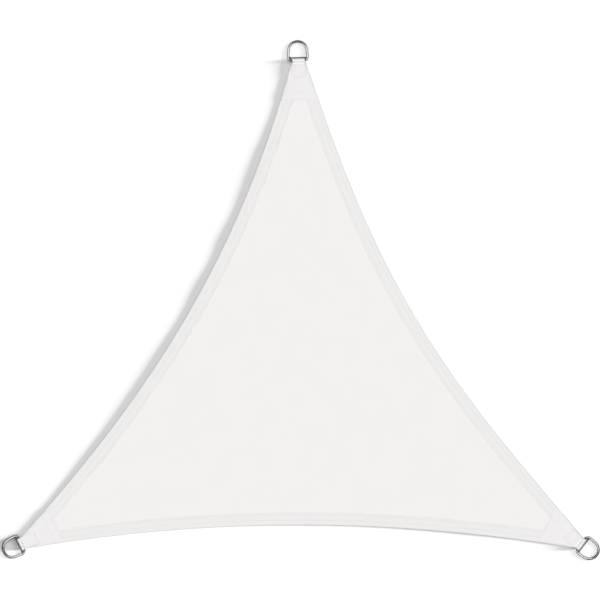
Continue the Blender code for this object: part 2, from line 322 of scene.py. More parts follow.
@dataclass(frozen=True)
class RibbedWebbing(Finish):
    """Polyester webbing, needle-loom woven: lengthwise ribs with a slight lustre, cream beside the cloth."""

    rib: float = 1.6 * MM
    pick: float = 1.1 * MM
    pick_height: float = 0.4
    relief: float = 0.25 * MM
    relief_strength: float = 0.6
    tuft: float = 2.5 * MM
    tuft_shades: tuple[float, float] = (0.96, 1.03)
    # painted shade in the rib valleys: how far up the rib it reaches, how much it mixes in and how dark it is
    valley: float = 0.45
    painted_valley_share: float = 0.14
    painted_valley_shade: float = 0.45
    shine: float = 0.35
    fuzz: float = 0.1

    def make(self) -> bpy.types.Material:
        """Build the webbing's material along its own run and width: ribs in relief, with painted shade between
        them.
        """
        material, tree, shader = self.start()
        place = add_node(tree, "UVMap", {"uv_map": RUN_MAP}, {}).outputs[0]
        axes = add_node(tree, "SeparateXYZ", {}, {0: place})
        ribs = self.sine(tree, axes.outputs["Y"], self.rib)
        picks = self.sine(tree, axes.outputs["X"], self.pick)
        tread = add_node(tree, "Math", {"operation": "ABSOLUTE"}, {0: ribs})
        cross = add_node(tree, "Math", {"operation": "MULTIPLY"}, {0: picks, 1: ribs})
        height = add_node(tree, "Math", {"operation": "MULTIPLY_ADD"},
                          {0: cross.outputs[0], 1: self.pick_height, 2: tread.outputs[0]})
        tufts = add_node(tree, "TexNoise", {}, {"Vector": place, "Scale": 1 / self.tuft, "Detail": 3.0})
        tint = add_node(tree, "Mix", {"data_type": "RGBA"},
                        {"Factor": tufts.outputs[0], "A": shade(self.colour, self.tuft_shades[0]),
                         "B": shade(self.colour, self.tuft_shades[1])})
        # painted shade: the colour darkens in the valleys between the ribs, where shade falls
        valley = add_node(tree, "MapRange", {"clamp": True},
                          {"Value": tread.outputs[0], "From Min": 0.0, "From Max": self.valley,
                           "To Min": self.painted_valley_share, "To Max": 0.0})
        colour = add_node(tree, "Mix", {"data_type": "RGBA"},
                          {"Factor": valley.outputs[0], "A": tint.outputs["Result"],
                           "B": shade(self.colour, self.painted_valley_shade)})
        tree.links.new(colour.outputs["Result"], shader.inputs["Base Color"])
        bump = add_node(tree, "Bump", {}, {"Height": height.outputs[0], "Distance": self.relief,
                                           "Strength": self.relief_strength})
        tree.links.new(bump.outputs[0], shader.inputs["Normal"])
        shader.inputs["Specular IOR Level"].default_value = self.shine
        shader.inputs["Sheen Weight"].default_value = self.fuzz
        return material


@dataclass(frozen=True)
class BondedThread(Finish):
    """Bonded polyester sewing thread, twisted: smoother and glossier than the cloth, its plies just seen."""

    ply: float = 0.35 * MM
    slant: tuple[float, float, float] = (0.6, 0.6, 0.5)
    relief: float = 0.05 * MM
    relief_strength: float = 0.5
    wear: float = 16.667 * MM
    wear_shades: tuple[float, float] = (0.93, 1.05)

    def make(self) -> bpy.types.Material:
        """Build the thread's material: slanted plies in relief, a slightly uneven white."""
        material, tree, shader = self.start()
        place = add_node(tree, "TexCoord", {}, {}).outputs["Object"]
        slant = add_node(tree, "VectorMath", {"operation": "DOT_PRODUCT"}, {0: place, 1: self.slant})
        plies = self.sine(tree, slant.outputs["Value"], self.ply)
        wear = add_node(tree, "TexNoise", {}, {"Vector": place, "Scale": 1 / self.wear, "Detail": 2.0})
        colour = add_node(tree, "Mix", {"data_type": "RGBA"},
                          {"Factor": wear.outputs[0], "A": shade(self.colour, self.wear_shades[0]),
                           "B": shade(self.colour, self.wear_shades[1])})
        tree.links.new(colour.outputs["Result"], shader.inputs["Base Color"])
        bump = add_node(tree, "Bump", {}, {"Height": plies, "Distance": self.relief,
                                           "Strength": self.relief_strength})
        tree.links.new(bump.outputs[0], shader.inputs["Normal"])
        return material


@dataclass(frozen=True)
class PolishedStainless(Finish):
    """Stainless wire, bent, welded and barrel-polished: clear reflections, with fine lines along the wire."""

    # dark colour at the welds: part heat tint, part painted shade where the bar's ends meet the bent wire
    tint: str = "#5d5852"
    line: float = 0.25 * MM  # real polishing lines are under 0.05 mm apart; drawn coarser so that they show
    line_length: float = 40 * MM
    line_range: tuple[float, float] = (0.3, 0.75)
    line_depth: float = 0.02 * MM
    line_strength: float = 0.3
    roughness_spread: float = 0.07

    def make(self) -> bpy.types.Material:
        """Build the ring's material: mirror-like steel, hairlines along the wire, a dark tint at the welds that
        is partly heat tint and partly painted shade where the bar meets the wire.
        """
        material, tree, shader = self.start()
        shader.inputs["Metallic"].default_value = 1.0
        run = add_node(tree, "UVMap", {"uv_map": RUN_MAP}, {}).outputs[0]
        stretch = add_node(tree, "Mapping", {},
                           {"Vector": run, "Scale": (1 / self.line_length, 1 / self.line, 1.0)})
        lines = add_node(tree, "TexNoise", {}, {"Vector": stretch.outputs[0], "Scale": 1.0, "Detail": 3.0})
        rough = add_node(tree, "MapRange", {"clamp": True},
                         {"Value": lines.outputs[0], "From Min": self.line_range[0],
                          "From Max": self.line_range[1],
                          "To Min": self.roughness - self.roughness_spread / 2,
                          "To Max": self.roughness + self.roughness_spread})
        tree.links.new(rough.outputs[0], shader.inputs["Roughness"])
        # heat tint mixed with painted shade: the colour darkens near each weld
        weld = add_node(tree, "Attribute", {"attribute_name": WELD_MARK}, {}).outputs["Fac"]
        colour = add_node(tree, "Mix", {"data_type": "RGBA"},
                          {"Factor": weld, "A": linear(self.colour), "B": linear(self.tint)})
        tree.links.new(colour.outputs["Result"], shader.inputs["Base Color"])
        bump = add_node(tree, "Bump", {}, {"Height": lines.outputs[0], "Distance": self.line_depth,
                                           "Strength": self.line_strength})
        tree.links.new(bump.outputs[0], shader.inputs["Normal"])
        return material


@dataclass(frozen=True)
class PaintedBoard(Finish):
    """Matt painted board, rolled: a plain pale floor with the faintest stipple."""

    stipple: float = 4 * MM
    stipple_shade: float = 0.995

    def make(self) -> bpy.types.Material:
        """Build the floor's material."""
        material, tree, shader = self.start()
        place = add_node(tree, "TexCoord", {}, {}).outputs["Object"]
        grain = add_node(tree, "TexNoise", {}, {"Vector": place, "Scale": 1 / self.stipple})
        colour = add_node(tree, "Mix", {"data_type": "RGBA"},
                          {"Factor": grain.outputs[0], "A": shade(self.colour, self.stipple_shade),
                           "B": linear(self.colour)})
        tree.links.new(colour.outputs["Result"], shader.inputs["Base Color"])
        shader.inputs["Specular IOR Level"].default_value = 0.0
        return material


@dataclass(frozen=True)
class LightPanel(Finish):
    """Diffusing cloth stretched on a frame and lit from behind: an even glow with a barely uneven weave."""

    glow: float = 0.9
    weave: float = 33.333 * MM
    weave_shade: float = 0.97

    def make(self) -> bpy.types.Material:
        """Build the panel's material."""
        material, tree, shader = self.start()
        place = add_node(tree, "TexCoord", {}, {}).outputs["Object"]
        weave = add_node(tree, "TexNoise", {}, {"Vector": place, "Scale": 1 / self.weave})
        colour = add_node(tree, "Mix", {"data_type": "RGBA"},
                          {"Factor": weave.outputs[0], "A": shade(self.colour, self.weave_shade),
                           "B": linear(self.colour)})
        tree.links.new(colour.outputs["Result"], shader.inputs["Emission Color"])
        shader.inputs["Emission Strength"].default_value = self.glow
        return material


# ---------------------------------------------------------------- plan and lie of the sail


@dataclass
class Edge:
    """One stretch of a cut edge: its line in plan and the directions into the cloth."""

    kind: EdgeKind
    line: np.ndarray
    start: CornerName | None = None
    end: CornerName | None = None

    def __post_init__(self) -> None:
        """Sort the line's points for quick finding."""
        self.tree = KDTree(len(self.line))
        for k, point in enumerate(self.line):
            self.tree.insert((*point, 0.0), k)
        self.tree.balance()

    @property
    def inward(self) -> np.ndarray:
        """Directions into the cloth, which lies on the left of the line."""
        along = unit(np.gradient(self.line, axis=0))
        return np.stack([-along[:, 1], along[:, 0]], axis=1)

    def row(self, offset: float) -> np.ndarray:
        """The line moved into the cloth."""
        return self.line + self.inward * offset

    def nearest(self, points: np.ndarray) -> tuple[np.ndarray, np.ndarray]:
        """Distance from each point to the line, and how far along the line its foot is.

        Args:
            points: Plan points, one a row.

        Returns:
            The distances and the runs.
        """
        close = np.array([self.tree.find((*point, 0.0))[1] for point in points], int)
        runs = run_along(self.line)
        far, along = np.full(len(points), np.inf), np.zeros(len(points))
        for first in (np.maximum(close - 1, 0), np.minimum(close, len(self.line) - 2)):
            start, span = self.line[first], self.line[first + 1] - self.line[first]
            length = np.linalg.norm(span, axis=1)
            share = np.clip(((points - start) * span).sum(1) / length ** 2, 0, 1)
            gap = np.linalg.norm(points - start - share[:, None] * span, axis=1)
            along = np.where(gap < far, runs[first] + share * length, along)
            far = np.minimum(far, gap)
        return far, along


def nearest_of(edges: list[Edge], points: np.ndarray) -> tuple[np.ndarray, np.ndarray]:
    """Distance to the nearest of several edges, and the run along that one.

    Args:
        edges: The edges.
        points: Plan points, one a row.

    Returns:
        The distances, and the runs, each edge's own continuing from the last one's end.
    """
    found = [edge.nearest(points) for edge in edges]
    far = np.stack([f for f, _ in found])
    starts = np.concatenate([[0.0], np.cumsum([run_along(edge.line)[-1] for edge in edges])[:-1]])
    along = np.stack([a + s for (_, a), s in zip(found, starts)])
    best, rows = far.argmin(0), np.arange(len(points))
    return far[best, rows], along[best, rows]


@dataclass
class Corner:
    """One corner: the middle of its ring's bar, and the ring's own directions u, v and up."""

    name: CornerName
    crown_reach: float = 51.65 * MM
    cloth_axis: np.ndarray = field(default_factory=lambda: np.zeros(2))

    def __post_init__(self) -> None:
        """Read the corner's place from the mount in its ring's crown, and the webbing's from its solid."""
        mounts = {mount["name"]: mount for mount in frame["record"]["mounts"]}
        mount = mounts[f"ring_{self.name.value}_crown"]
        self.u_axis = -np.array(mount["axis"], float)
        self.origin = np.array(mount["pos_m"], float) - self.u_axis * self.crown_reach
        self.bar = self.origin[:2]
        self.outward = unit(self.u_axis[:2])
        self.across = np.array([-self.outward[1], self.outward[0]])
        strap = frame["nodes"][f"webbing_{self.name.value}"].data
        v = self.local(np.array([vert.co[:2] for vert in strap.vertices]))[1]
        self.strap_middle = (v.min() + v.max()) / 2

    def place(self, u: float | np.ndarray, v: float | np.ndarray) -> np.ndarray:
        """Plan point at u outwards from the bar and v across it."""
        u, v = np.broadcast_arrays(np.asarray(u, float), np.asarray(v, float))
        return self.bar + u[..., None] * self.outward + v[..., None] * self.across

    def local(self, points: np.ndarray) -> tuple[np.ndarray, np.ndarray]:
        """The u and v of plan points."""
        off = points - self.bar
        return off @ self.outward, off @ self.across

    def ring_matrix(self) -> Matrix:
        """Places (u, v, up) of the ring, which leans a little on the webbing."""
        u_axis = Vector(self.u_axis).normalized()
        v_axis = Vector((*self.across, 0.0))
        turn = Matrix((u_axis, v_axis, u_axis.cross(v_axis))).transposed().to_4x4()
        return Matrix.Translation(Vector(self.origin)) @ turn


@dataclass
class SailPlan:
    """The cut edge of the cloth and the lie of its underside: flat on the ground inside a raised rim."""

    node: str = "sail_cloth"
    column: float = 5 * MM
    sharp_turn: float = math.radians(20)
    rim_lift: float = 3.6 * MM
    rim_wave: float = 0.5 * MM
    rim_waves: int = 11
    rim_width: float = 220 * MM
    tip_lift: float = 2.0 * MM
    tip_shelf: float = 160 * MM
    tip_fade: float = 240 * MM
    draw_height: float = 0.45 * MM
    draw_width: float = 70 * MM
    draw_start: float = 30 * MM
    draw_lengths: tuple[float, ...] = (61 * MM, 97 * MM, 143 * MM)
    lie_height: float = 0.35 * MM
    lie_length: float = 190 * MM

    def __post_init__(self) -> None:
        """Trace the cut edge and find the corners."""
        self.corners = {name: Corner(name) for name in CornerName}
        self.edges = self.split(self.trace())
        self.sides = [edge for edge in self.edges if edge.kind is EdgeKind.SIDE]
        for corner in self.corners.values():
            incoming = next(edge for edge in self.sides if edge.end is corner.name)
            outgoing = next(edge for edge in self.sides if edge.start is corner.name)
            back = unit(incoming.line[-40] - incoming.line[-1]) + unit(outgoing.line[40] - outgoing.line[0])
            corner.cloth_axis = -unit(back)

    def trace(self) -> np.ndarray:
        """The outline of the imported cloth's upper face, anticlockwise."""
        mesh = frame["nodes"][self.node].data
        mesh.calc_loop_triangles()
        places: dict[tuple[float, float], int] = {}
        index = [places.setdefault((round(v.co.x, 6), round(v.co.y, 6)), len(places)) for v in mesh.vertices]
        directed = set()
        for triangle in mesh.loop_triangles:
            if triangle.normal.z > 0.3:
                a, b, c = (index[k] for k in triangle.vertices)
                directed.update(((a, b), (b, c), (c, a)))
        follow = {a: b for a, b in directed if (b, a) not in directed}
        loop = [min(follow)]
        while follow[loop[-1]] != loop[0]:
            loop.append(follow[loop[-1]])
        points = np.array(list(places))
        return points[loop]

    def corner_near(self, point: np.ndarray) -> CornerName:
        """The corner whose ring is nearest to a plan point."""
        return min(self.corners.values(), key=lambda corner: np.linalg.norm(corner.bar - point)).name

    def split(self, outline: np.ndarray) -> list[Edge]:
        """Split the outline at its sharp turns into curved sides and cut-off tips.

        Args:
            outline: The closed outline's points.

        Returns:
            The edges in order round the sail, each one's last point the next one's first.
        """
        before = outline - np.roll(outline, 1, axis=0)
        after = np.roll(outline, -1, axis=0) - outline
        turn = np.arctan2(before[:, 0] * after[:, 1] - before[:, 1] * after[:, 0], (before * after).sum(1))
        sharp = [int(k) for k in np.nonzero(turn > self.sharp_turn)[0]]
        edges = []
        for k, first in enumerate(sharp):
            last = sharp[(k + 1) % len(sharp)]
            count = (last - first) % len(outline)
            points = outline[[(first + step) % len(outline) for step in range(count + 1)]]
            if count == 1:
                edges.append(Edge(EdgeKind.TIP, spaced(points, self.column)))
            else:
                edges.append(Edge(EdgeKind.SIDE, curve_through(points, self.column),
                                  self.corner_near(points[0]), self.corner_near(points[-1])))
        return edges

    def lift(self, points: np.ndarray) -> np.ndarray:
        """Height of the cloth's underside at plan points."""
        far, along = nearest_of(self.sides, points)
        rise = smooth(1 - far / self.rim_width)
        wave = np.sin(self.rim_waves * np.arctan2(points[:, 1], points[:, 0]))
        rim = (self.rim_lift + self.rim_wave * wave) * rise
        tip = np.min([np.linalg.norm(points - c.bar, axis=1) for c in self.corners.values()], axis=0)
        corner = smooth(1 - (tip - self.tip_shelf) / self.tip_fade)
        drawn = self.draw_height * ripple(along, self.draw_lengths) * np.exp(-far / self.draw_width)
        drawn = drawn * smooth(far / self.draw_start) * rise
        # two slanted trains of long waves, one across the other, lift the field in low uneven swells
        x, y, long = points[:, 0], points[:, 1], self.lie_length
        swell = ripple(x + 0.4 * y, (long, 1.7 * long)) * ripple(y - 0.3 * x, (1.3 * long, 2.1 * long))
        settled = self.lie_height * (0.5 + 0.5 * np.clip(swell, -1, 1)) * smooth(far / self.rim_width)
        return rim + (self.tip_lift - rim) * corner + (drawn + settled) * (1 - corner)


# ---------------------------------------------------------------- making sheets


def inner_points(edges: list[Edge], rows: tuple[float, ...]) -> np.ndarray:
    """Points in rows beside the edges, thinned where two edges' rows would cross.

    Args:
        edges: The closed outline's edges.
        rows: Offsets of the rows into the cloth.

    Returns:
        Plan points, one a row.
    """
    kept = []
    for edge in edges:
        for offset in rows:
            points = edge.row(offset)[1:-1]
            far = np.min([other.nearest(points)[0] for other in edges], axis=0)
            kept.append(points[far > ROW_CLEAR * offset - 0.01 * MM])
    return np.vstack(kept)


def grid_points(edges: list[Edge], spacing: float, clear: float) -> np.ndarray:
    """A triangular grid of points inside an outline, clear of its edges.

    Args:
        edges: The closed outline's edges.
        spacing: Distance between points.
        clear: The least distance to the outline.

    Returns:
        Plan points, one a row.
    """
    ring = closed_ring(edges)
    low, high = ring.min(0), ring.max(0)
    rise = spacing * math.sqrt(3) / 2
    rows = np.arange(low[1], high[1], rise)
    columns = np.arange(low[0], high[0], spacing)
    points = np.vstack([np.stack([columns + (k % 2) * spacing / 2, np.full(len(columns), y)], axis=1)
                        for k, y in enumerate(rows)])
    points = points[inside(points, ring)]
    return points[nearest_of(edges, points)[0] > clear]


def closed_ring(edges: list[Edge]) -> np.ndarray:
    """The outline's points, each once."""
    return np.vstack([edge.line[:-1] for edge in edges])


def inside(points: np.ndarray, ring: np.ndarray) -> np.ndarray:
    """True for each plan point within a closed outline."""
    odd = np.zeros(len(points), bool)
    for a, b in zip(ring, np.roll(ring, -1, axis=0)):
        if a[1] != b[1]:
            spans = (a[1] > points[:, 1]) != (b[1] > points[:, 1])
            odd ^= spans & (points[:, 0] < a[0] + (points[:, 1] - a[1]) * (b[0] - a[0]) / (b[1] - a[1]))
    return odd


def cut_size(edges: list[Edge], axis: np.ndarray) -> tuple[tuple[float, float], float]:
    """Flat size of the cloth that a piece is cut from.

    Args:
        edges: The closed outline's edges.
        axis: The direction that the length runs in.

    Returns:
        The (width, length) of the rectangle round the cut, and the cut's own area.
    """
    ring = closed_ring(edges)
    x, y = ring @ np.array([-axis[1], axis[0]]), ring @ axis
    area = abs(np.dot(x, np.roll(y, -1)) - np.dot(y, np.roll(x, -1))) / 2
    return (float(np.ptp(x)), float(np.ptp(y))), float(area)


def fill(ring: np.ndarray, points: np.ndarray) -> tuple[np.ndarray, list[tuple[int, ...]]]:
    """Triangles over an outline and the points inside it.

    Args:
        ring: The closed outline.
        points: The points inside.

    Returns:
        All plan points, the ring's first, and the anticlockwise triangles.
    """
    plan = np.vstack([ring, points])
    outline = list(range(len(ring)))
    _, _, faces, origins, *_ = delaunay_2d_cdt([Vector(p) for p in plan], [], [outline], 1, 1e-7)
    first = [own[0] if own else -1 for own in origins]
    return plan, [tuple(first[k] for k in face) for face in faces if min(first[k] for k in face) >= 0]


def closed_sheet(name: str, edges: list[Edge], upper: tuple, lower: tuple, fold: float,
                 *materials: bpy.types.Material) -> bpy.types.Object:
    """A closed sheet with a rounded edge.

    Args:
        name: The piece's name.
        edges: The outline's edges, anticlockwise.
        upper: Plan points of the upper face and the function that gives its height.
        lower: The same for the lower face.
        fold: How far in from the edge the rounding goes.
        materials: Its material slots.

    Returns:
        The linked object, its upper faces first.
    """
    ring = closed_ring(edges)
    verts, faces = [np.column_stack([ring, (upper[1](ring) + lower[1](ring)) / 2])], []
    for (points, height), facing, upward in ((upper, lower[1], True), (lower, upper[1], False)):
        plan, triangles = fill(ring, points)
        inner = plan[len(ring):]
        far, own, other = nearest_of(edges, inner)[0], height(inner), facing(inner)
        bulge = np.sqrt(1 - np.clip(1 - far / fold, 0, 1) ** 2)
        z = (own + other) / 2 + (own - other) / 2 * bulge
        shift = sum(len(part) for part in verts) - len(ring)
        for face in triangles:
            face = tuple(k if k < len(ring) else k + shift for k in face)
            faces.append(face if upward else face[::-1])
        verts.append(np.column_stack([inner, z]))
    return new_object(name, np.vstack(verts), faces, *materials)


# ---------------------------------------------------------------- stitches


@dataclass
class Stitching:
    """Lockstitch rows: a bead of thread for each stitch, sunk at both ends."""

    pitch: float = 4.5 * MM
    thread_radius: float = 0.3 * MM
    gap_share: float = 0.14
    sides: int = 6
    ring_shares: tuple[float, ...] = (0.0, 0.16, 0.5, 0.84, 1.0)
    ring_swell: tuple[float, ...] = (0.35, 0.9, 1.0, 0.9, 0.35)
    ring_rise: tuple[float, ...] = (-0.9, 0.1, 0.45, 0.1, -0.9)

    def beads(self, line: np.ndarray, upward: bool = True) -> tuple[np.ndarray, list[tuple[int, ...]]]:
        """Stitches along a line that lies on the cloth.

        Args:
            line: Points in space along the row.
            upward: False for the row's other face, below the cloth.

        Returns:
            The beads' points and faces.
        """
        long = run_along(line)[-1]
        count = max(1, int(long / self.pitch))
        first = (long - count * self.pitch) / 2 + (np.arange(count) + self.gap_share / 2) * self.pitch
        inner = self.pitch * (1 - self.gap_share)
        centres = at_run(line, first[:, None] + np.array(self.ring_shares) * inner)
        along = unit(centres[:, -1] - centres[:, 0])
        side = unit(np.cross(np.array([0.0, 0.0, 1.0]), along))
        up = np.cross(along, side) * (1 if upward else -1)
        centres = centres + up[:, None] * (np.array(self.ring_rise) * self.thread_radius)[None, :, None]
        angles = np.arange(self.sides) * 2 * math.pi / self.sides
        radius = np.array(self.ring_swell) * self.thread_radius
        spoke = (side[:, None, None] * np.cos(angles)[None, None, :, None]
                 + up[:, None, None] * np.sin(angles)[None, None, :, None])
        verts = centres[:, :, None] + spoke * radius[None, :, None, None]
        rings, faces = len(radius), []
        for bead in range(count):
            base = bead * rings * self.sides
            for ring in range(rings - 1):
                low = base + ring * self.sides
                for k in range(self.sides):
                    n = (k + 1) % self.sides
                    face = (low + k, low + n, low + n + self.sides, low + k + self.sides)
                    faces.append(face if upward else face[::-1])
            start = tuple(base + k for k in range(self.sides))
            finish = tuple(base + (rings - 1) * self.sides + k for k in range(self.sides))
            faces.append(start[::-1] if upward else start)
            faces.append(finish if upward else finish[::-1])
        return verts.reshape(-1, 3), faces

    def piece(self, name: str, lines: list[tuple[np.ndarray, bool]],
              material: bpy.types.Material) -> bpy.types.Object:
        """Join the stitches of several rows in one piece.

        Args:
            name: The piece's name.
            lines: Each row's line in space, and whether it lies on the upper face.
            material: The thread.

        Returns:
            The linked piece.
        """
        verts, faces, count = [], [], 0
        for line, upward in lines:
            some, more = self.beads(line, upward)
            faces.extend(tuple(k + count for k in face) for face in more)
            verts.append(some)
            count += len(some)
        return new_object(name, np.vstack(verts), faces, material)


# ---------------------------------------------------------------- the sail's cloth


@dataclass
class SailPanel:
    """The sail's one cloth panel, with a folded hem sewn down by two rows along each curved side."""

    plan: SailPlan
    thread: bpy.types.Material
    field_thickness: float = 0.9 * MM
    hem_thickness: float = 1.65 * MM
    hem_width: float = 42 * MM
    hem_step: float = 1.6 * MM
    fold: float = 2.2 * MM
    # width of the painted shade along the folded cut edge
    painted_fold_width: float = 1.2 * MM
    stitch_rows: tuple[float, float] = (17 * MM, 35 * MM)
    puff: float = 0.3 * MM
    pucker: float = 0.14 * MM
    pucker_reach: float = 5 * MM
    pucker_lengths: tuple[float, ...] = (17 * MM, 23 * MM, 37 * MM)
    channel_round: float = 0.8
    grid: float = 13 * MM
    grid_clear: float = 58 * MM
    patch_reach: float = 142 * MM
    upper_rows: tuple[float, ...] = tuple(k * MM for k in (
        0.12, 0.35, 0.9, 2, 4, 7, 10, 13, 15.4, 16.4, 17, 17.6, 18.6, 21, 24, 27, 30, 33, 34.3,
        35, 35.7, 37, 39, 40.8, 41.4, 42, 42.6, 43.2, 44.5, 47.5, 52))
    lower_rows: tuple[float, ...] = tuple(k * MM for k in (0.12, 0.35, 0.9, 2, 6, 17, 30, 44))

    @property
    def hem_end(self) -> float:
        """How far in from the cut edge the hem's step ends."""
        return self.hem_width + self.hem_step / 2

    def thickness(self, points: np.ndarray) -> np.ndarray:
        """Thickness of the cloth at plan points: the field, or the puffed and puckered hem."""
        far, along = nearest_of(self.plan.sides, points)
        hem = smooth((self.hem_end - far) / self.hem_step)
        rows = (0.0, *self.stitch_rows, self.hem_end)
        channel = np.abs(np.sin(math.pi * np.interp(far, rows, range(len(rows))))) ** self.channel_round
        row_gap = np.min([np.abs(far - row) for row in self.stitch_rows], axis=0)
        pucker = self.pucker * ripple(along, self.pucker_lengths) * np.exp(-row_gap / self.pucker_reach)
        body = (self.hem_thickness - self.field_thickness) + self.puff * channel + pucker
        return self.field_thickness + body * hem

    def top(self, points: np.ndarray) -> np.ndarray:
        """Height of the upper face at plan points."""
        return self.plan.lift(points) + self.thickness(points)

    def build(self, cloth: bpy.types.Material, hem: bpy.types.Material) -> bpy.types.Object:
        """Make the panel, its hem in a finish of its own.

        Args:
            cloth: The single layer's finish.
            hem: The folded hem's finish.

        Returns:
            The panel.
        """
        edges = self.plan.edges
        grid = grid_points(edges, self.grid, self.grid_clear)
        upper = np.vstack([inner_points(edges, self.upper_rows), grid])
        lower = np.vstack([inner_points(edges, self.lower_rows), grid])
        panel = closed_sheet("sail_panel", edges, (upper, self.top), (lower, self.plan.lift), self.fold,
                             cloth, hem)
        centres = np.zeros(len(panel.data.polygons) * 3)
        panel.data.polygons.foreach_get("center", centres)
        far = nearest_of(self.plan.sides, centres.reshape(-1, 3)[:, :2])[0]
        panel.data.polygons.foreach_set("material_index", (far < self.hem_end).astype(np.int32))
        # painted shade: mark the points near each curved cut edge, where the cloth's colour darkens to stand
        # for the shade of the turned fold
        places = np.array([vert.co[:2] for vert in panel.data.vertices])
        fold_shading = np.exp(-(nearest_of(self.plan.sides, places)[0] / self.painted_fold_width) ** 2)
        mark = panel.data.attributes.new(PAINTED_FOLD_SHADE, "FLOAT", "POINT")
        mark.data.foreach_set("value", fold_shading.astype(np.float32))
        return settle(panel, self.plan.node)

    def under_patch(self, points: np.ndarray) -> np.ndarray:
        """True where a plan point lies within a corner patch's reach."""
        reach = [(points - corner.bar) @ corner.cloth_axis > -self.patch_reach
                 for corner in self.plan.corners.values()]
        return np.any(reach, axis=0)

    def stitch(self, stitching: Stitching) -> list[bpy.types.Object]:
        """Sew both rows of each side's hem, on the upper face as far as the patches and all along below."""
        pieces = []
        for side in self.plan.sides:
            lines = []
            for offset in self.stitch_rows:
                row = side.row(offset)
                row = row[nearest_of(self.plan.edges, row)[0] > offset * ROW_CLEAR]
                shown = row[~self.under_patch(row)]
                lines.append((np.column_stack([shown, self.top(shown)]), True))
                lines.append((np.column_stack([row, self.plan.lift(row)]), False))
            name = f"hem_stitching_{side.start.value}_to_{side.end.value}"
            pieces.append(settle(stitching.piece(name, lines, self.thread)))
        return pieces


# ---------------------------------------------------------------- corners


@dataclass
class WebbingLoop:
    """A loop of webbing round the ring's straight side, its two legs sewn down together."""

    corner: Corner
    width: float = 41 * MM
    thickness: float = 1.2 * MM
    reach: float = 62 * MM
    wire_place: tuple[float, float] = (-9.4 * MM, 6.5 * MM)
    bend_radius: float = 5.2 * MM
    pinch: float = -15.6 * MM
    lower_leg: float = 4.9 * MM
    upper_leg: float = 6.4 * MM
    path_step: float = 0.7 * MM
    rounding: int = 5
    width_steps: int = 20
    edge_steps: int = 6
    selvedge: float = 2.2 * MM
    selvedge_share: float = 0.07

    def path(self) -> np.ndarray:
        """Middle line of the loop in (u, z): in along the upper leg, round the wire and back."""
        centre = np.array(self.wire_place)
        angles = []
        for pinch_height, turn in ((self.upper_leg, -1), (self.lower_leg, 1)):
            away = np.array([self.pinch, pinch_height]) - centre
            opening = math.acos(self.bend_radius / np.linalg.norm(away))
            angles.append(math.atan2(away[1], away[0]) + turn * opening)
        start, end = angles
        if end > start:
            end -= 2 * math.pi
        sweep = np.linspace(start, end, 40)
        arc = centre + self.bend_radius * np.stack([np.cos(sweep), np.sin(sweep)], axis=1)
        line = np.vstack([[-self.reach, self.upper_leg], [self.pinch, self.upper_leg], arc,
                          [self.pinch, self.lower_leg], [-self.reach, self.lower_leg]])
        line = spaced(line, self.path_step)
        half = self.rounding // 2
        middle = np.stack([np.convolve(line[:, k], np.ones(self.rounding) / self.rounding, "valid")
                           for k in range(2)], axis=1)
        return np.vstack([line[:half], middle, line[-half:]])

    def length(self) -> float:
        """Length of the strap before it is folded round the wire."""
        return float(run_along(self.path())[-1])

    def section(self) -> np.ndarray:
        """Closed section in (across, out), flat faces, thicker selvedges and round edges."""
        half = self.width / 2 - self.thickness / 2
        across = np.linspace(-half, half, self.width_steps)
        edge = smooth((np.abs(across) - half + self.selvedge) / self.selvedge)
        rise = self.thickness / 2 * (1 - self.selvedge_share * (1 - edge))
        turn = np.linspace(math.pi / 2, -math.pi / 2, self.edge_steps + 2)[1:-1]
        bend = np.stack([np.cos(turn), np.sin(turn)], axis=1) * self.thickness / 2
        upper = np.column_stack([across, rise])
        lower = np.column_stack([across[::-1], -rise[::-1]])
        return np.vstack([upper, bend + [half, 0], lower, -bend + [-half, 0]])

    def build(self, webbing: bpy.types.Material) -> bpy.types.Object:
        """Sweep the section along the path."""
        path, section, middle = self.path(), self.section(), self.corner.strap_middle
        tangent = unit(np.gradient(path, axis=0))
        normal = np.stack([-tangent[:, 1], tangent[:, 0]], axis=1)
        verts, faces, runs = [], [], run_along(path)
        for (u, z), (nu, nz) in zip(path, normal):
            plan = self.corner.place(u + nu * section[:, 1], middle + section[:, 0])
            verts.append(np.column_stack([plan, z + nz * section[:, 1]]))
        count = len(section)
        for k in range(len(path) - 1):
            for j in range(count):
                n = (j + 1) % count
                faces.append((k * count + j, k * count + n, (k + 1) * count + n, (k + 1) * count + j))
        last = (len(path) - 1) * count
        faces.append(tuple(range(count))[::-1])
        faces.append(tuple(last + j for j in range(count)))
        obj = new_object(f"webbing_loop_{self.corner.name.value}", np.vstack(verts), faces, webbing)
        uv = obj.data.uv_layers.new(name=RUN_MAP)
        for loop in obj.data.loops:
            uv.data[loop.index].uv = (runs[loop.vertex_index // count], section[loop.vertex_index % count, 0])
        return settle(face_outwards(obj), f"webbing_{self.corner.name.value}")


def face_outwards(obj: bpy.types.Object) -> bpy.types.Object:
    """Turn a closed mesh's faces outwards if they point in."""
    mesh = obj.data
    mesh.calc_loop_triangles()
    co = np.array([v.co for v in mesh.vertices])
    tri = co[np.array([t.vertices for t in mesh.loop_triangles])]
    volume = np.einsum("ij,ij->i", tri[:, 0], np.cross(tri[:, 1], tri[:, 2])).sum()
    if volume < 0:
        mesh.flip_normals()
    return obj


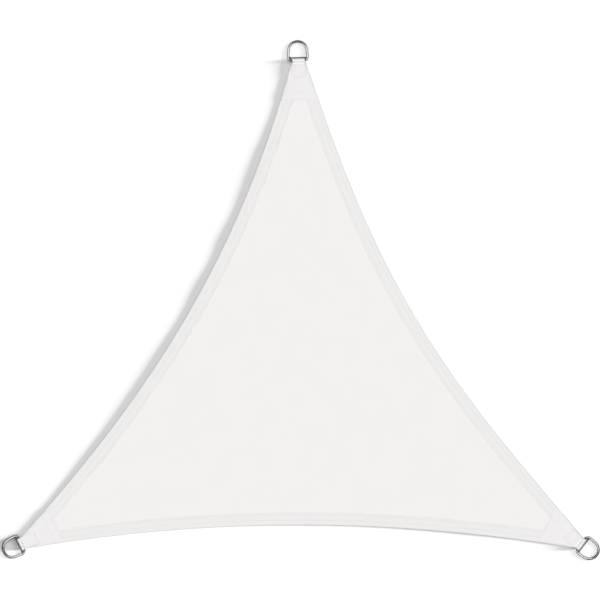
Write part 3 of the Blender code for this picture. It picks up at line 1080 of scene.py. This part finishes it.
@dataclass
class CornerPatch:
    """The reinforcing patch over a corner's hems and webbing, sewn down all round."""

    corner: Corner
    panel: SailPanel
    webbing: WebbingLoop
    thickness: float = 0.7 * MM
    inset: float = 2.0 * MM
    inner_reach: float = 144 * MM
    outer_end: float = -20.5 * MM
    over_cloth: float = 0.45 * MM
    over_hem: float = 0.1 * MM
    hem_soften: float = 6 * MM
    over_webbing: float = 0.25 * MM
    bridge_margin: float = 0.4 * MM
    bridge_ramp: float = 5.5 * MM
    fold: float = 0.35 * MM
    column: float = 4 * MM
    grid_clear: float = 9.5 * MM
    seam_dip: float = 0.22 * MM
    seam_width: float = 0.9 * MM
    seam_inset: float = 4 * MM
    cross_row: float = 116 * MM
    cross_clear: float = 3 * MM
    cross_steps: tuple[float, ...] = (-1.6 * MM, -0.8 * MM, 0.0, 0.8 * MM, 1.6 * MM)
    box_rows: tuple[float, float] = (-33 * MM, -59 * MM)
    box_half: float = 16.5 * MM
    pinch_row: float = -14.2 * MM
    pinch_inset: float = 1.5 * MM
    rows: tuple[float, ...] = tuple(k * MM for k in (0.1, 0.35, 1.2, 2.6, 3.4, 4.0, 4.6, 5.4, 7.5))

    def __post_init__(self) -> None:
        """Cut the patch's outline from the two sides that meet at this corner."""
        sides = self.panel.plan.sides
        incoming = next(side for side in sides if side.end is self.corner.name)
        outgoing = next(side for side in sides if side.start is self.corner.name)
        arriving = self.clip(incoming.row(self.inset))
        leaving = self.clip(outgoing.row(self.inset)[::-1])[::-1]
        outer, inner = np.vstack([arriving[-1], leaving[0]]), np.vstack([leaving[-1], arriving[0]])
        self.edges = [Edge(kind, spaced(line, self.column)) for kind, line in (
            (EdgeKind.SIDE, arriving), (EdgeKind.TIP, outer), (EdgeKind.SIDE, leaving), (EdgeKind.TIP, inner))]

    def clip(self, line: np.ndarray) -> np.ndarray:
        """The stretch of a line, which runs to the corner, that lies between the patch's two ends."""
        fine = spaced(line, 0.25 * MM)
        reach = (fine - self.corner.bar) @ self.corner.cloth_axis
        u = self.corner.local(fine)[0]
        return fine[(reach > -self.inner_reach) & (u < self.outer_end)]

    def underside(self, points: np.ndarray) -> np.ndarray:
        """Height of the patch's lower face: softly over the hems and tight over the webbing's legs."""
        panel = self.panel
        far = nearest_of(panel.plan.sides, points)[0]
        hems = smooth((panel.hem_width + self.hem_soften - far) / self.hem_soften)
        flat = panel.plan.lift(points) + panel.field_thickness + self.over_cloth
        flat = flat + (panel.hem_thickness + self.over_hem - panel.field_thickness) * hems
        u, v = self.corner.local(points)
        web = self.webbing
        sideways = np.abs(v - self.corner.strap_middle)
        beyond = np.maximum(-u - web.reach, sideways - web.width / 2) - self.bridge_margin
        bridge = smooth(1 - beyond / self.bridge_ramp)
        crest = web.upper_leg + web.thickness / 2 + self.over_webbing
        return flat + (np.maximum(crest, flat) - flat) * bridge

    def top(self, points: np.ndarray) -> np.ndarray:
        """Height of the patch's upper face, dipping along its seams."""
        rim = np.abs(nearest_of(self.edges, points)[0] - self.seam_inset)
        reach = (points - self.corner.bar) @ self.corner.cloth_axis
        dip = np.exp(-(rim / self.seam_width) ** 2) + np.exp(-((reach + self.cross_row) / self.seam_width) ** 2)
        return self.underside(points) + self.thickness - self.seam_dip * np.clip(dip, 0, 1)

    def build(self, cloth: bpy.types.Material) -> bpy.types.Object:
        """Make the patch as a closed sheet draped over what lies under it."""
        across = self.cross_line(self.cross_row, 0.0)
        cross = [across + self.corner.cloth_axis * step for step in self.cross_steps]
        grid = grid_points(self.edges, self.column, self.grid_clear)
        seam = np.abs((grid - self.corner.bar) @ self.corner.cloth_axis + self.cross_row) > self.cross_clear
        points = np.vstack([inner_points(self.edges, self.rows), grid[seam], *cross])
        name = f"corner_patch_{self.corner.name.value}"
        obj = closed_sheet(name, self.edges, (points, self.top), (points, self.underside), self.fold, cloth)
        return settle(obj, f"patch_{self.corner.name.value}")

    def cross_line(self, reach: float, clear: float) -> np.ndarray:
        """A straight line across the patch, square to the cloth's axis.

        Args:
            reach: How far in from the ring it runs.
            clear: How far inside the patch's edges it stops.

        Returns:
            Its plan points.
        """
        axis = self.corner.cloth_axis
        side = np.array([-axis[1], axis[0]])
        line = self.corner.bar - axis * reach + np.arange(-100, 100.5, 2)[:, None] * MM * side
        kept = inside(line, closed_ring(self.edges)) & (nearest_of(self.edges, line)[0] > clear + 0.5 * MM)
        return line[kept]

    def seam_loop(self) -> list[np.ndarray]:
        """The seam inside the patch's edge, one line for each edge."""
        lines = []
        for edge in self.edges:
            row = edge.row(self.seam_inset)
            fine = spaced(row, MM)
            lines.append(fine[nearest_of(self.edges, fine)[0] > self.seam_inset * 0.97])
        return lines

    def stitch(self, stitching: Stitching, thread: bpy.types.Material) -> bpy.types.Object:
        """Sew the patch's edge, its cross row, the box over the webbing and the row at the loop's pinch."""
        corner, web, middle = self.corner, self.webbing, self.corner.strap_middle
        box = []
        for u in self.box_rows:
            box.append(corner.place(u, middle + np.linspace(-self.box_half, self.box_half, 40)))
        for v in (-self.box_half, self.box_half):
            box.append(corner.place(np.linspace(*self.box_rows, 30), middle + v))
        lines = []
        for row in (*self.seam_loop(), self.cross_line(self.cross_row, self.seam_inset), *box):
            lines.append((np.column_stack([row, self.top(row)]), True))
            lines.append((np.column_stack([row, self.panel.plan.lift(row)]), False))
        half = web.width / 2 - self.pinch_inset
        pinch = corner.place(self.pinch_row, middle + np.linspace(-half, half, 40))
        path = web.path()
        near = path[np.abs(path[:, 0] - self.pinch_row) < MM]
        for height, upward in ((near[:, 1].max(), True), (near[:, 1].min(), False)):
            level = height + (web.thickness / 2 if upward else -web.thickness / 2)
            lines.append((np.column_stack([pinch, np.full(len(pinch), level)]), upward))
        return settle(stitching.piece(f"corner_stitching_{corner.name.value}", lines, thread))


@dataclass
class DRing:
    """A D-ring bent from round wire, with a thin bar welded across it."""

    corner: Corner
    wire_radius: float = 4.0 * MM
    bar_radius: float = 2.3 * MM
    crown_radius: float = 31 * MM
    crown_centre: float = 24.8 * MM
    leg_splay: float = math.radians(5)
    corner_radius: float = 14 * MM
    straight_side: float = -9.4 * MM
    step: float = 1.5 * MM
    wire_sides: int = 32
    bar_sides: int = 24
    weld_flare: float = 1.4 * MM
    weld_length: float = 2.4 * MM
    weld_tint_and_shade_reach: float = 5 * MM

    def corner_centre(self) -> tuple[float, float]:
        """The (u, v) centre of a lower corner's bend, which the splayed leg touches."""
        u = self.straight_side + self.corner_radius
        gap = self.crown_radius - self.corner_radius + (self.crown_centre - u) * math.sin(self.leg_splay)
        return u, gap / math.cos(self.leg_splay)

    def centreline(self) -> np.ndarray:
        """Closed line of the wire in (u, v), its last point one step before its first."""
        touch = math.pi / 2 - self.leg_splay
        turn = np.linspace(-touch, touch, 90)
        crown = np.stack([self.crown_centre + self.crown_radius * np.cos(turn),
                          self.crown_radius * np.sin(turn)], axis=1)
        bend = np.linspace(touch, math.pi, 40)
        centre_u, centre_v = self.corner_centre()
        u = centre_u + self.corner_radius * np.cos(bend)
        v = centre_v + self.corner_radius * np.sin(bend)
        line = np.vstack([crown, np.column_stack([u, v]), np.column_stack([u, -v])[::-1], crown[:1]])
        return spaced(line, self.step)[:-1]

    def reach(self) -> float:
        """How far from the middle the bar meets the wire's centreline."""
        u, v = self.corner_centre()
        return v + math.sqrt(self.corner_radius ** 2 - u ** 2)

    def tube(self, name: str, line: np.ndarray, radii: np.ndarray, sides: int, closed: bool,
             steel: bpy.types.Material) -> bpy.types.Object:
        """Sweep a circle along a line in the ring's own plane.

        Args:
            name: The object's name.
            line: Points in (u, v).
            radii: The circle's radius at each point.
            sides: Points on the circle.
            closed: Whether the line closes on itself.
            steel: The finish.

        Returns:
            The tube, with its run map and weld mark.
        """
        if closed:
            along = unit(np.roll(line, -1, axis=0) - np.roll(line, 1, axis=0))
        else:
            along = unit(np.gradient(line, axis=0))
        out = np.stack([along[:, 1], -along[:, 0]], axis=1)
        angles = np.arange(sides) * 2 * math.pi / sides
        spoke = np.cos(angles)[None, :, None] * radii[:, None, None]
        plan = line[:, None] + out[:, None] * spoke
        height = np.sin(angles)[None, :] * radii[:, None]
        verts = np.concatenate([plan, height[..., None]], axis=2).reshape(-1, 3)
        rings, faces = len(line), []
        for k in range(rings if closed else rings - 1):
            low, high = k * sides, (k + 1) % rings * sides
            for j in range(sides):
                n = (j + 1) % sides
                faces.append((low + j, high + j, high + n, low + n))
        if not closed:
            faces.append(tuple(range(sides)))
            faces.append(tuple((rings - 1) * sides + j for j in range(sides))[::-1])
        obj = new_object(name, verts, faces, steel)
        face_outwards(obj)
        uv = obj.data.uv_layers.new(name=RUN_MAP)
        for face in obj.data.polygons:
            numbers = [(k // sides, k % sides) for k in face.vertices]
            wrapped = max(j for _, j in numbers) == sides - 1 and min(j for _, j in numbers) == 0
            looped = max(k for k, _ in numbers) == rings - 1 and min(k for k, _ in numbers) == 0 and closed
            for loop, (k, j) in zip(face.loop_indices, numbers):
                run = (k + (rings if looped and k == 0 else 0)) * self.step
                turn = (j + (sides if wrapped and j == 0 else 0)) * 2 * math.pi * self.wire_radius / sides
                uv.data[loop].uv = (run, turn)
        return obj

    def build(self, steel: bpy.types.Material) -> bpy.types.Object:
        """Bend the wire, weld the bar across it and lay the ring in its place."""
        line = self.centreline()
        name = f"d_ring_{self.corner.name.value}"
        ring = self.tube(name, line, np.full(len(line), self.wire_radius), self.wire_sides, True, steel)
        reach = self.reach()
        v = np.linspace(-reach, reach, 61)
        flare = self.weld_flare * np.exp(-(reach - self.wire_radius - np.abs(v)).clip(0) / self.weld_length)
        middle = np.column_stack([0 * v, v])
        rod = self.tube("bar", middle, self.bar_radius + flare, self.bar_sides, False, steel)
        weld = ring.modifiers.new("weld", "BOOLEAN")
        weld.operation = "UNION"
        weld.solver = "EXACT"
        weld.object = rod
        bpy.context.view_layer.update()
        joined = bpy.data.meshes.new_from_object(ring.evaluated_get(bpy.context.evaluated_depsgraph_get()))
        ring.modifiers.clear()
        ring.data = joined
        bpy.data.objects.remove(rod)
        # mark the welds, where the steel's colour darkens: heat tint and painted shade of the joint
        mark = joined.attributes.new(WELD_MARK, "FLOAT", "POINT")
        for vert in joined.vertices:
            gap = min((vert.co - Vector((0, end * (reach - self.wire_radius), 0))).length for end in (-1, 1))
            mark.data[vert.index].value = float(smooth(1.5 - gap / self.weld_tint_and_shade_reach))
        joined.transform(self.corner.ring_matrix())
        joined.shade_smooth()
        return settle(ring, f"ring_{self.corner.name.value}")


# ---------------------------------------------------------------- studio


@dataclass
class Studio:
    """A plain pale floor, soft light, flags and a light panel for each ring, and a camera straight above."""

    floor_colour: str = "#e6e6e6"
    floor_half: float = 40.0
    zenith: float = 0.667
    horizon: float = 0.09
    sky_edges: tuple[float, float] = (0.35, 0.55)
    ring_middle: float = 20 * MM
    flag_gap: float = 0.35
    flag_half: float = 0.42
    flag_heights: tuple[float, float] = (0.03, 3.0)
    panel_middle: float = 25 * MM
    panel_height: float = 0.9
    panel_half: float = 0.75
    panel_waist: float = 0.05
    panel_flare: float = 0.7
    low_strength: float = 14.0
    low_elevation: float = 7.0
    low_azimuth: float = 3.5
    low_angle: float = 10.0
    high_strength: float = 2.32
    high_elevation: float = 20.0
    high_azimuth: float = 12.0
    high_angle: float = 20.0
    fill_strength: float = 2.295
    fill_angle: float = 50.0
    camera_height: float = 12.0
    view_width: float = 2.031
    view_centre: tuple[float, float] = (-0.0027, 0.0004)

    def floor(self) -> bpy.types.Object:
        """Lay the floor just under the sail, kept out of the steel's reflections."""
        half = self.floor_half
        verts = np.array([(-half, -half, 0), (half, -half, 0), (half, half, 0), (-half, half, 0)], float)
        material = PaintedBoard("matt_painted_board", self.floor_colour, 0.95).make()
        obj = new_object("floor", verts - [0, 0, 0.05 * MM], [(0, 1, 2, 3)], material)
        obj.visible_glossy = False
        return obj

    def sky(self) -> None:
        """Light from above, bright overhead and dark low down."""
        world = bpy.data.worlds.new("soft_tent")
        bpy.context.scene.world = world
        world.use_nodes = True
        tree = world.node_tree
        tree.nodes.clear()
        place = add_node(tree, "TexCoord", {}, {}).outputs["Generated"]
        axes = add_node(tree, "SeparateXYZ", {}, {0: place})
        glow = add_node(tree, "MapRange", {"interpolation_type": "SMOOTHSTEP"},
                        {"Value": axes.outputs["Z"], "From Min": self.sky_edges[0],
                         "From Max": self.sky_edges[1], "To Min": self.horizon, "To Max": self.zenith})
        background = add_node(tree, "Background", {}, {"Color": (1, 1, 1, 1), "Strength": glow.outputs[0]})
        add_node(tree, "OutputWorld", {}, {"Surface": background.outputs[0]})

    def reflections(self, corners: list[Corner]) -> None:
        """Hang what the steel mirrors: flags before and behind each ring, and a bow-tie of light above it."""
        felt = PaintedBoard("black_felt", "#101010", 0.95).make()
        diffuser = LightPanel("diffusing_cloth", "#ffffff", 0.9).make()
        low, high = self.flag_heights
        wide = self.panel_waist + self.panel_flare * self.panel_half
        for corner in corners:
            for side, gap in (("before", self.flag_gap), ("behind", -self.flag_gap)):
                left = corner.place(self.ring_middle + gap, -self.flag_half)
                right = corner.place(self.ring_middle + gap, self.flag_half)
                verts = np.array([(*left, low), (*right, low), (*right, high), (*left, high)])
                name = f"flag_{side}_{corner.name.value}"
                self.mirrored_only(new_object(name, verts, [(0, 1, 2, 3)], felt))
            bow = [(-self.panel_waist, 0.0), (-wide, self.panel_half), (wide, self.panel_half),
                   (self.panel_waist, 0.0), (wide, -self.panel_half), (-wide, -self.panel_half)]
            verts = np.array([(*corner.place(self.panel_middle + u, v), self.panel_height) for u, v in bow])
            faces = [(0, 1, 2, 3), (0, 3, 4, 5)]
            self.mirrored_only(new_object(f"light_panel_{corner.name.value}", verts, faces, diffuser))

    def mirrored_only(self, obj: bpy.types.Object) -> None:
        """Let an object of the stage show in reflections alone."""
        obj.visible_camera = obj.visible_diffuse = obj.visible_shadow = False
        obj.visible_transmission = obj.visible_volume_scatter = False

    def sun(self, name: str, strength: float, elevation: float, azimuth: float, angle: float,
            lit: list[bpy.types.Object], casting: list[bpy.types.Object] | None = None) -> None:
        """Add a sun that lights only the given objects.

        Args:
            name: The light's name.
            strength: Its irradiance square to its rays.
            elevation: Degrees above the floor.
            azimuth: Degrees anticlockwise from +X that it comes from.
            angle: Its width in degrees.
            lit: What it lights.
            casting: What casts a shadow in it, if not everything.
        """
        data = bpy.data.lights.new(name, "SUN")
        data.energy = strength
        data.angle = math.radians(angle)
        obj = bpy.data.objects.new(name, data)
        bpy.context.scene.collection.objects.link(obj)
        e, a = math.radians(elevation), math.radians(azimuth)
        towards = Vector((math.cos(e) * math.cos(a), math.cos(e) * math.sin(a), math.sin(e)))
        obj.rotation_euler = towards.to_track_quat("Z", "Y").to_euler()
        obj.light_linking.receiver_collection = self.group(f"{name}_lights", lit)
        if casting:
            obj.light_linking.blocker_collection = self.group(f"{name}_shadows", casting)

    def group(self, name: str, members: list[bpy.types.Object]) -> bpy.types.Collection:
        """A collection of the given objects."""
        group = bpy.data.collections.new(name)
        for member in members:
            group.objects.link(member)
        return group

    def camera(self) -> None:
        """Look straight down, with +Y up in the picture."""
        data = bpy.data.cameras.new("camera")
        data.sensor_width = 36.0
        data.lens = data.sensor_width * self.camera_height / self.view_width
        data.clip_end = 500.0
        obj = bpy.data.objects.new("camera", data)
        obj.location = (*self.view_centre, self.camera_height)
        bpy.context.scene.collection.objects.link(obj)
        bpy.context.scene.camera = obj

    def build(self, corners: list[Corner], cloths: list[bpy.types.Object],
              rings: list[bpy.types.Object]) -> None:
        """Set the whole studio.

        Args:
            corners: Where the rings are.
            cloths: The sail's cloths and seams, which the fill and the low light are for.
            rings: The rings, which only the sky lights and whose shadows the high light casts.
        """
        bpy.context.scene.view_settings.view_transform = "Standard"
        floor = self.floor()
        self.sky()
        self.reflections(corners)
        self.sun("low", self.low_strength, self.low_elevation, self.low_azimuth, self.low_angle,
                 [floor], cloths)
        self.sun("high", self.high_strength, self.high_elevation, self.high_azimuth, self.high_angle,
                 [floor], rings)
        self.sun("fill", self.fill_strength, 90.0, 0.0, self.fill_angle, cloths)
        self.camera()


def main() -> None:
    """Build the sail piece by piece, then the studio."""
    logging.basicConfig(level=logging.INFO, format="%(name)s %(message)s")
    cloth = WovenPolyester("sail_cloth_plain_weave", "#dad8d6", 0.85).make()
    hem = WovenPolyester("hem_cloth_plain_weave", "#d6d4d3", 0.85).make()
    patch_cloth = WovenPolyester("patch_cloth_plain_weave", "#d7d5d6", 0.85).make()
    webbing = RibbedWebbing("webbing_ribbed", "#e2e1df", 0.7).make()
    # the white thread is coloured darker than the cloth so that the stitch rows show: painted shade of the
    # rows' grooves
    thread = BondedThread("bonded_thread", "#bebbb8", 0.5).make()
    steel = PolishedStainless("stainless_polished", "#cdcdce", 0.12).make()

    plan = SailPlan()
    stitching = Stitching()
    panel = SailPanel(plan, thread)
    sail = panel.build(cloth, hem)
    seams, cloths, rings = panel.stitch(stitching), [sail], []
    for corner in plan.corners.values():
        loop = WebbingLoop(corner)
        strap = loop.build(webbing)
        cover = CornerPatch(corner, panel, loop)
        patch = cover.build(patch_cloth)
        cut, area = cut_size(cover.edges, corner.cloth_axis)
        LOG.info("%s cut %s, %.5f m2; %s %.4f m long", patch.name, cut, area, strap.name, loop.length())
        loop.length()
        cloths.extend((strap, patch))
        seams.append(cover.stitch(stitching, thread))
        rings.append(DRing(corner).build(steel))

    cut, area = cut_size(plan.edges, np.array([0.0, 1.0]))
    LOG.info("%s cut %s, %.4f m2", sail.name, cut, area)
    Studio().build(list(plan.corners.values()), [*cloths, *seams], rings)


if __name__ == "__main__":
    main()
